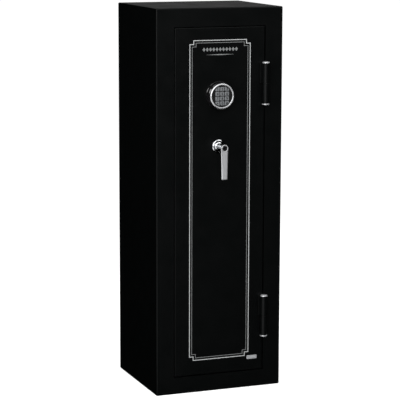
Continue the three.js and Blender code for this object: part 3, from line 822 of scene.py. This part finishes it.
def lining_panel():
    """Carpet-wrapped board over the bolt work, held by screws in cup washers."""
    low, high = ends("door_lining_panel")
    corners = rectangle(low[0], high[0], low[2], high[2])
    rows = slab_rows(corners, 5, low[1], high[1], 0.3, 3.2)
    settle(surface("carpeted_door_panel", [rows], LINING), "door", "carpeted_board", "door_lining_panel")
    profile = np.array([
        [0, -SCREW_SUNK], [SCREW_HEAD, -SCREW_SUNK], [SCREW_HEAD + CUP_WALL, 0.5],
        [CUP_WASHER - CUP_WALL, CUP_CREST], [CUP_WASHER, 0], [CUP_WASHER, -1], [0, -1],
    ]) + [0, high[1]]
    shells = [
        lathe_rows(eased(profile, 0.3, 3, closed=False), (x, 0, z), "y", WASHER_SIDES)
        for x in (low[0] + SCREW_MARGIN, high[0] - SCREW_MARGIN)
        for z in np.linspace(low[2] + SCREW_MARGIN, high[2] - SCREW_MARGIN, SCREW_ROWS)
    ]
    settle(surface("panel_screws", shells, ZINC), "door", "zinc_plate")


lining_panel()

# --- hinges

KNUCKLE_EDGE = 0.9
HINGE_SIDES = 56
LUG_DEEP = 9
LUG_EDGE = 0.7


def knuckle(node, body, lug_sign):
    """Hinge barrel turned about z, and the lug that welds it to the door or to the frame."""
    low, high = ends(node)
    pin = middle("hinge_pin_upper" if "upper" in node else "hinge_pin_lower")
    radius = abs((low[0] if lug_sign > 0 else high[0]) - pin[0])
    side = [[0, low[2]], [radius, low[2]], [radius, high[2]], [0, high[2]]]
    barrel = eased(side, [0, KNUCKLE_EDGE, KNUCKLE_EDGE, 0], closed=False)
    turned = lathe_rows(barrel, (pin[0], pin[1], 0), "z", HINGE_SIDES)
    far = high[0] if lug_sign > 0 else low[0]
    corners = rectangle(min(far, pin[0]), max(far, pin[0]), low[2] + 0.5, high[2] - 0.5)
    lug = slab_rows(corners, 2.5, high[1] - LUG_DEEP, high[1], LUG_EDGE, 0)
    settle(surface(node + "_turned", [turned, lug], POWDER), body, "powder_coat", node)


CAP = 6.5
PIN_SHAFT = 5.0  # radius


def hinge_pin(node):
    """Hinge pin with a domed chrome cap on each end: a profile turned about z."""
    low, high = ends(node)
    centre = (low + high) / 2
    radius = (high[0] - low[0]) / 2
    half = [
        [0, high[2]], [radius * 0.55, high[2] - 0.4], [radius - 1.2, high[2] - 1.9], [radius, high[2] - 3.4],
        [radius, high[2] - CAP + 0.8], [radius - 0.8, high[2] - CAP], [PIN_SHAFT, high[2] - CAP],
    ]
    mirrored = [[r, low[2] + high[2] - z] for r, z in reversed(half)]
    rounding = [0, 6, 2.5, 1.2, 0.5, 0.5, 0.2]
    profile = eased(half + mirrored, rounding + rounding[::-1], closed=False)
    rows = lathe_rows(profile, (centre[0], centre[1], 0), "z", HINGE_SIDES)
    capped = surface(node + "_capped", [rows], SATIN_CHROME, flat_first=False)
    settle(capped, "cabinet", "chrome_plate", node)


for place in ("upper", "lower"):
    knuckle(f"door_knuckle_{place}", "door", -1)
    knuckle(f"frame_knuckle_{place}", "cabinet", 1)
    hinge_pin(f"hinge_pin_{place}")

# --- handle


TURNED_SIDES = 72
ROSETTE_BORE = 7
GROOVE_FLOOR = 3.0  # height of the groove's floor over the door
BOSS_TOP = 1.2  # the boss's flat top lies this far behind the front


def rosette():
    """Chrome rosette turned about y: a domed outer ring, a groove, and a domed boss round the neck."""
    low, high = ends("handle_rosette")
    front, back = low[1], high[1]
    radius = (high[0] - low[0]) / 2
    outer_ring = [
        [radius, back], [radius, back - 2.4], [radius - 3.0, back - 4.2], [radius - 5.6, back - 4.6],
    ]
    groove = [[radius - 6.4, back - GROOVE_FLOOR], [radius - 7.4, back - GROOVE_FLOOR]]
    boss = [[radius - 9.0, back - 6.2], [radius - 12.5, front + 0.4], [radius - 14, front + BOSS_TOP]]
    profile = [[ROSETTE_BORE, back]] + outer_ring + groove + boss + [[ROSETTE_BORE, front + BOSS_TOP]]
    rounded = eased(profile, [0.3, 0.3, 2.4, 3.5, 1.0, 0.4, 0.4, 3.0, 3.0, 0.4, 0.3])
    rows = lathe_rows(rounded, HANDLE_AXIS, "y", TURNED_SIDES)
    return surface("domed_rosette", [rows], CHROME, wrap_rows=True, flat_first=False)


settle(rosette(), "door", "chrome_plate", "handle_rosette")

LEVER_LOW, LEVER_HIGH = ends("lever")
HUB = (LEVER_HIGH[0] - LEVER_LOW[0]) / 2
TIP_HALF = 10.6
GRIP_DEEP = 11.0
GRIP_BEVEL = 2.8
GRIP_ARC = 41  # points round the grip's upper end
GRIP_HOLE = 1.2  # the grip's hole is this much smaller in radius than the hub
GRIP_SINK = 0.9  # the grip's face lies this far behind the hub's rim
SCREW = (ends("hub_screw")[1][0] - ends("hub_screw")[0][0]) / 2
HOLE = SCREW + 0.4
HOLE_DEEP = 4.0
NECK = 10.0


def grip_outline(inset):
    """The grip seen from the front, moved inwards: the upper part of a circle round the spindle, the
    two lines that touch it and narrow towards the tip, and a straight tip with round corners. Moving
    a circle, its tangents and the tip inwards together keeps them touching."""
    tip = LEVER_LOW[2] - SPINDLE[2]
    lean = math.asin((HUB - TIP_HALF) / -tip)
    turn = np.linspace(-lean, math.pi + lean, GRIP_ARC)
    arc = (HUB - inset) * np.stack([np.cos(turn), np.sin(turn)], 1)
    low = tip + inset
    half = (HUB - inset + low * math.sin(lean)) / math.cos(lean)
    corners = np.array([arc[-1], [-half, low], [half, low], arc[0]])
    tips = eased(corners, [0, 2.6, 2.6, 0], closed=False)[ARC_STEPS + 1:-ARC_STEPS - 1]
    return np.concatenate([arc, tips]) + SPINDLE[[0, 2]]


def grip():
    """Cast grip: sides that draw in towards the back, a wide bevel round the front, a flat face, and
    a round hole that the hub fills. Every row has the outline's points, and the hole's row takes the
    tip's points round its lower half."""
    front = LEVER_LOW[1]
    face = front + GRIP_SINK
    back = front + GRIP_DEEP
    sides = [(5.2, back), (4.0, back - 0.5), (3.0, back - 1.8), (0.3, face + 4.4), (0, face + 3.4)]
    bevel = [(0, face + 2.0), (0.4, face + 1.5), (GRIP_BEVEL - 0.3, face + 0.12), (GRIP_BEVEL, face)]
    rows = [upright(grip_outline(inset), depth) for inset, depth in sides + bevel]
    upper = grip_outline(0)[:GRIP_ARC] - SPINDLE[[0, 2]]
    start = np.arctan2(upper[-1, 1], upper[-1, 0]) + 2 * math.pi
    end = np.arctan2(upper[0, 1], upper[0, 0]) + 2 * math.pi
    below = np.linspace(start, end, len(rows[0]) - GRIP_ARC + 2)[1:-1]
    lower = HUB * np.stack([np.cos(below), np.sin(below)], 1)
    hole = np.concatenate([upper, lower]) * (1 - GRIP_HOLE / HUB) + SPINDLE[[0, 2]]
    rows += [upright(hole, face), upright(hole, back)]
    return surface("lever_grip", [np.stack(rows)], NICKEL, wrap_rows=True)


settle(grip(), "handle", "satin_lever", "lever")


HUB_RIM = 1.2
HUB_PROUD = 0.05  # the hub's side stands this far outside the grip's


def hub():
    """Polished ring round the screw's hole, turned, with a plug that fills the grip's hole."""
    front = LEVER_LOW[1]
    rear = front + GRIP_DEEP
    profile = [
        [0, front + HOLE_DEEP], [HOLE, front + HOLE_DEEP], [HOLE, front + 0.9], [HOLE + 0.8, front],
        [HUB - HUB_RIM, front], [HUB + HUB_PROUD, front + 1.6], [HUB + HUB_PROUD, front + 3.5],
        [HUB - HUB_RIM, front + 5], [HUB - 2.5, rear + 0.3], [0, rear + 0.3],
    ]
    rounding = [0, 0.6, 0.4, 0.4, 0.9, 1.0, 1.0, 0.5, 0.8, 0]
    rows = lathe_rows(eased(profile, rounding, closed=False), HANDLE_AXIS, "y", TURNED_SIDES)
    return surface("lever_hub", [rows], NICKEL)


settle(hub(), "handle", "satin_lever")


NECK_WAIST = 1.8
SPINDLE_CLEARANCE = 0.3


def neck():
    """Chrome neck, turned: waisted between the hub and the rosette, and bored for the spindle."""
    front, back = LEVER_LOW[1] + GRIP_DEEP, LEVER_HIGH[1]
    bore = (ends("spindle")[1][0] - ends("spindle")[0][0]) / 2 + SPINDLE_CLEARANCE
    profile = [
        [bore, front + 0.1], [NECK, front + 0.1], [NECK, front + 3], [NECK - NECK_WAIST, front + 12],
        [NECK - NECK_WAIST, back - 10], [NECK, back - 2], [NECK, back], [bore, back],
    ]
    rounded = eased(profile, [0, 0.4, 3, 9, 9, 2, 0.4, 0])
    rows = lathe_rows(rounded, HANDLE_AXIS, "y", TURNED_SIDES)
    return surface("lever_neck", [rows], CHROME, wrap_rows=True, flat_first=False)


settle(neck(), "handle", "chrome_plate")


SOCKET = 4.0  # radius of the hexagon socket
SOCKET_DEEP = 2.0
SOCKET_RIM = 0.2


def hub_cap():
    """Black screw head sunk in the hub: a domed rim falling to a flat, and a hexagon socket, whose
    six-sided edge is the radius over the cosine of the angle from the nearest flat's middle."""
    low, high = ends("hub_screw")
    front = low[1]
    radius = (high[0] - low[0]) / 2
    profile = np.array([
        [0, front + SOCKET_DEEP], [SOCKET, front + SOCKET_DEEP],
        [SOCKET + SOCKET_RIM, front + SOCKET_RIM], [radius - 2.6, front],
        [radius, front + 1.3], [radius, high[1]], [0, high[1]],
    ])
    rounded = eased(profile, [0, 0.2, 0.3, 1.2, 0.6, 0.2, 0], closed=False)
    rows = lathe_rows(rounded, (0, 0, 0), "y", TURNED_SIDES)
    a = np.linspace(0, 2 * math.pi, TURNED_SIDES, endpoint=False)
    hexagon = math.cos(math.pi / 6) / np.cos((a % (math.pi / 3)) - math.pi / 6)
    socket = (rounded[:, 0] < SOCKET + 0.5)[:, None]
    rows[..., [0, 2]] *= np.where(socket, hexagon, 1.0)[..., None]
    rows += HANDLE_AXIS
    return surface("hub_screw_cap", [rows], GLOSS)


settle(hub_cap(), "handle", "black_plastic", "hub_screw")

# --- keypad

HOUSING_LOW, HOUSING_HIGH = ends("keypad_housing")
RING_LOW, RING_HIGH = ends("keypad_ring")
KEY_CIRCLE = 36.8
KEY_CLEARANCE = 0.4
BLOCK_END = 39.0  # where the block's outline would close above and below
BLOCK_SPREAD = 1.08
POCKET = 3.8
FACE_RADIUS = 38.0
KEYPAD_SIDES = 96
SKIRT_STEP = 2.0  # from the skirt's side in to the drum's
CHAMFER_DEEP = 6.2
SKIRT_SLOPE_START = 6.8  # before the back
SKIRT_SLOPE_END = 4.2


def keypad_body():
    """Black housing turned about y: a skirt against the door, a drum with a wide rounded chamfer up
    to the ring, and the floor of the key well."""
    front, back = HOUSING_LOW[1], HOUSING_HIGH[1]
    skirt = (HOUSING_HIGH[0] - HOUSING_LOW[0]) / 2
    drum = (RING_HIGH[0] - RING_LOW[0]) / 2
    shoulder = RING_HIGH[1] + 0.2
    wide = skirt - SKIRT_STEP
    profile = [
        [0, front + POCKET], [FACE_RADIUS, front + POCKET], [FACE_RADIUS, shoulder], [drum, shoulder],
        [wide, shoulder + CHAMFER_DEEP], [wide, back - SKIRT_SLOPE_START],
        [skirt, back - SKIRT_SLOPE_END], [skirt, back], [0, back],
    ]
    rounded = eased(profile, [0, 0.2, 0.2, 0.5, 9.0, 1.2, 2.5, 0.3, 0], closed=False)
    rows = lathe_rows(rounded, KEYPAD_AXIS, "y", KEYPAD_SIDES)
    return surface("keypad_body", [rows], GLOSS)


BAY_CLEARANCE = 0.35
BAY_CORNER = 1.0


def with_battery_bay(body):
    """The keypad's body with the battery bay cut out of it: a box round the tray, open below."""
    low, high = ends("battery_tray")
    low, high = low - BAY_CLEARANCE, high + BAY_CLEARANCE
    low[2] = HOUSING_LOW[2] - BAY_CLEARANCE
    corners = rectangle(low[0], high[0], low[2], high[2])
    rows = slab_rows(corners, BAY_CORNER, low[1], high[1])
    cutter = surface("bay_cutter", [rows], MATT, flat_first=False)
    body.modifiers.clear()
    cut = body.modifiers.new("battery_bay", "BOOLEAN")
    cut.operation = "DIFFERENCE"
    cut.solver = "EXACT"
    cut.object = cutter
    mesh = bpy.data.meshes.new_from_object(body.evaluated_get(bpy.context.evaluated_depsgraph_get()))
    name = body.name
    bpy.data.objects.remove(cutter)
    bpy.data.objects.remove(body)
    return finished(name, mesh, GLOSS)


settle(with_battery_bay(keypad_body()), "door", "black_plastic", "keypad_housing")


RING_GAP = 1.1


def chrome_ring():
    """Rounded chrome bezel: a D-section turned about y."""
    front, back = RING_LOW[1], RING_HIGH[1]
    outer = (RING_HIGH[0] - RING_LOW[0]) / 2
    inner = FACE_RADIUS + RING_GAP
    profile = [
        [inner, back], [outer, back], [outer, front + 1.6],
        [outer - 2.8, front], [inner + 1.2, front + 0.6], [inner, front + 2.4],
    ]
    rounded = eased(profile, [0.2, 0.4, 2.2, 2.2, 1.2, 1.2])
    rows = lathe_rows(rounded, KEYPAD_AXIS, "y", KEYPAD_SIDES)
    return surface("chrome_bezel", [rows], SATIN_CHROME, wrap_rows=True, flat_first=False)


settle(chrome_ring(), "door", "chrome_plate", "keypad_ring")


def key_outline(node, grow, steps=64):
    """A key's edge as seen from its own middle, in polar form: the smaller of a soft rectangle,
    (|cos/a|^8 + |sin/b|^8)^(-1/8), and the distance to the circle that trims the outer keys. The
    whole block then draws in towards its top and bottom rows, as (1 - |z/c|^3)^(1/3)."""
    low, high = ends(node)
    reach = np.array([high[0] - low[0], high[2] - low[2]]) / 2 + grow
    centre = np.array([low[0] + high[0], low[2] + high[2]]) / 2
    a = np.linspace(0, 2 * math.pi, steps, endpoint=False)
    ray = np.stack([np.cos(a), np.sin(a)], 1)
    soft = ((np.abs(ray) / reach) ** 8).sum(1) ** (-1 / 8)
    offset = centre - KEYPAD[[0, 2]]
    along = ray @ offset
    trim = -along + np.sqrt(np.maximum(along ** 2 - offset @ offset + (KEY_CIRCLE + grow) ** 2, 0))
    edge = ray * np.minimum(soft, trim)[:, None] + offset
    edge[:, 0] *= np.minimum(1, BLOCK_SPREAD * (1 - np.abs(edge[:, 1] / BLOCK_END) ** 3) ** (1 / 3))
    return edge + KEYPAD[[0, 2]]


KEY_SHOULDER = 1.3
KEY_CROWN = 0.25


def key_cap(node):
    """A rubber key: its outline drawn in along a rounded shoulder to a slightly domed top."""
    low, high = ends(node)
    front, back = low[1], high[1]
    rows = [upright(key_outline(node, 0), back)]
    for inset, rise in reversed(quarter(KEY_SHOULDER, 4)):
        rows.append(upright(key_outline(node, -inset), front + KEY_CROWN + rise))
    centre = rows[-1].mean(0)
    for draw, lift in ((0.6, 0.08), (0.25, 0.0)):
        ring = centre + (rows[-1] - centre) * draw
        ring[:, 1] = front + lift
        rows.append(ring)
    return surface(node + "_cap", [np.stack(rows)], SILICONE, flat_first=False)


def stood_up(curve, across, depth, up, centred):
    """A flat curve or text made a mesh that faces -y: x + across, depth - thickness, y + up, in
    metres. With centred its own middle is first taken to the origin."""
    holder = linked(curve.name, curve)
    bpy.context.view_layer.update()
    mesh = bpy.data.meshes.new_from_object(holder)
    bpy.data.objects.remove(holder)
    points = np.empty(len(mesh.vertices) * 3, np.float32)
    mesh.vertices.foreach_get("co", points)
    points = points.reshape(-1, 3)
    if centred:
        points = points - (points.min(0) + points.max(0)) / 2
    placed = np.stack([points[:, 0] + across, depth - points[:, 2], points[:, 1] + up], 1)
    mesh.vertices.foreach_set("co", placed.astype(np.float32).ravel())
    merged(mesh, FINE_MERGE)
    return mesh


MARK_SIZE = 12.5
MARK_THICK = 0.12
MARK_PROUD = 0.02
STROKE_SWELL = 0.32  # widens the strokes to those of a bold print


def key_print(name, words, centre, depth):
    """A numeral as a thin raised print, its place in its mesh."""
    curve = bpy.data.curves.new(name, "FONT")
    curve.body = words
    curve.size = MARK_SIZE * MM
    curve.extrude = MARK_THICK * MM / 2
    curve.align_x = "CENTER"
    curve.align_y = "CENTER"
    curve.offset = STROKE_SWELL * MM
    mesh = stood_up(curve, centre[0] * MM, depth * MM, centre[1] * MM, centred=True)
    return finished(name, mesh, BLACK_INK, flat_first=False)


KEY_MARKS = {str(n): str(n) for n in range(10)}
KEY_MARKS.update({"clear": "*", "enter": "#"})

for mark, words in KEY_MARKS.items():
    node = f"key_{mark}"
    settle(key_cap(node), node, "key_plastic", node)
    centre = middle(node)
    depth = ends(node)[0][1] - MARK_PROUD
    numeral = key_print(f"numeral_{mark}", words, centre[[0, 2]], depth)
    settle(numeral, node, "black_plastic")


PLATE_BEVEL = 0.25
PLATE_GAP = 0.5  # from the plate's back to the floor of the well


def face_plate():
    """Flat bezel round the keys: a disc with twelve key-shaped openings, as a filled flat curve
    with a small bevel, made a mesh."""
    curve = bpy.data.curves.new("key_bezel", "CURVE")
    curve.dimensions = "2D"
    curve.fill_mode = "BOTH"
    curve.extrude = (POCKET - PLATE_GAP) * MM / 2
    curve.bevel_depth = PLATE_BEVEL * MM
    a = np.linspace(0, 2 * math.pi, KEYPAD_SIDES, endpoint=False)
    rim = KEYPAD[[0, 2]] + (FACE_RADIUS - PLATE_BEVEL) * np.stack([np.cos(a), np.sin(a)], 1)
    openings = [key_outline(f"key_{mark}", KEY_CLEARANCE + PLATE_BEVEL) for mark in KEY_MARKS]
    for loop in [rim] + openings:
        spline = curve.splines.new("POLY")
        spline.points.add(len(loop) - 1)
        flat = np.concatenate([loop * MM, np.zeros((len(loop), 1)), np.ones((len(loop), 1))], 1)
        spline.points.foreach_set("co", flat.ravel())
        spline.use_cyclic_u = True
    mesh = stood_up(curve, 0.0, (HOUSING_LOW[1] + POCKET / 2) * MM, 0.0, centred=False)
    return finished("key_bezel", mesh, MATT)


settle(face_plate(), "door", "black_plastic")
refined("battery_tray", "battery_drawer", "black_plastic", MATT, 0.4)
refined("battery", "battery_drawer", "battery_case", JACKET, 1.2)

# The floor's fireboard lies unseen under the pad
coated("floor_fireboard", BOARD)

# --- studio


def softbox(name, azimuth, elevation, distance, size, radiance, target=(0, 0, 0.9)):
    """A rectangular soft light seen from the target at an azimuth, clockwise from the front, and an
    elevation in degrees. Its power is its radiance times pi times its area."""
    light = bpy.data.lights.new(name, "AREA")
    light.shape = "RECTANGLE"
    light.size, light.size_y = size
    light.energy = radiance * math.pi * size[0] * size[1]
    lamp = linked(name, light)
    a, e = math.radians(azimuth), math.radians(elevation)
    away = Vector((math.sin(a) * math.cos(e), -math.cos(a) * math.cos(e), math.sin(e)))
    lamp.location = Vector(target) + away * distance
    lamp.rotation_euler = away.to_track_quat("Z", "Y").to_euler()
    lamp.visible_camera = False


SURROUND = 1.02  # radiance
FLOOR_HALF = 60.0  # metres


def studio():
    """Pale floor, white surround, and softboxes. The floor and the surround are left out of
    reflections, so the black paint mirrors only the softboxes."""
    world = bpy.data.worlds.new("white_surround")
    bpy.context.scene.world = world
    world.use_nodes = True
    world.node_tree.nodes["Background"].inputs["Color"].default_value = (1, 1, 1, 1)
    world.node_tree.nodes["Background"].inputs["Strength"].default_value = SURROUND
    world.cycles_visibility.glossy = False
    floor_mesh = bpy.data.meshes.new("studio_floor")
    flat = rectangle(-FLOOR_HALF, FLOOR_HALF, -FLOOR_HALF, FLOOR_HALF)
    corners = np.concatenate([flat, np.zeros((4, 1))], 1).tolist()
    floor_mesh.from_pydata(corners, [], [(0, 1, 2, 3)])
    floor = linked("studio_floor", floor_mesh)
    paper, tree, shader, place = begin("white_paper_sweep", "ffffff", 0.9, Specular_IOR_Level=0.0)
    vary_gloss(tree, shader, grain(tree, place, 400, 2), 0.86, 0.94)
    floor_mesh.materials.append(paper)
    floor.visible_glossy = False
    # Each one's azimuth, elevation, distance, size and radiance
    softbox("camera_bank", -32, 20, 3.0, (3.0, 2.6), 3.0)
    softbox("left_bank", -84, 27, 3.0, (1.0, 1.2), 6.0, target=(0, -0.3, 1.085))
    softbox("right_top", 44, 40, 3.0, (1.3, 1.5), 2.6, target=(0, -0.2, 0.95))
    softbox("right_bank", 110, 35, 3.0, (1.6, 2.2), 1.6)
    softbox("front_top", -10, 62, 3.0, (3.4, 2.2), 1.8)
    softbox("front_low", -40, -24, 2.0, (2.4, 0.9), 1.5)
    softbox("back_top", 150, 14, 3.4, (3.0, 0.8), 0.34, target=(0, 0, 1.4))


studio()
bpy.context.scene.view_settings.view_transform = "Standard"
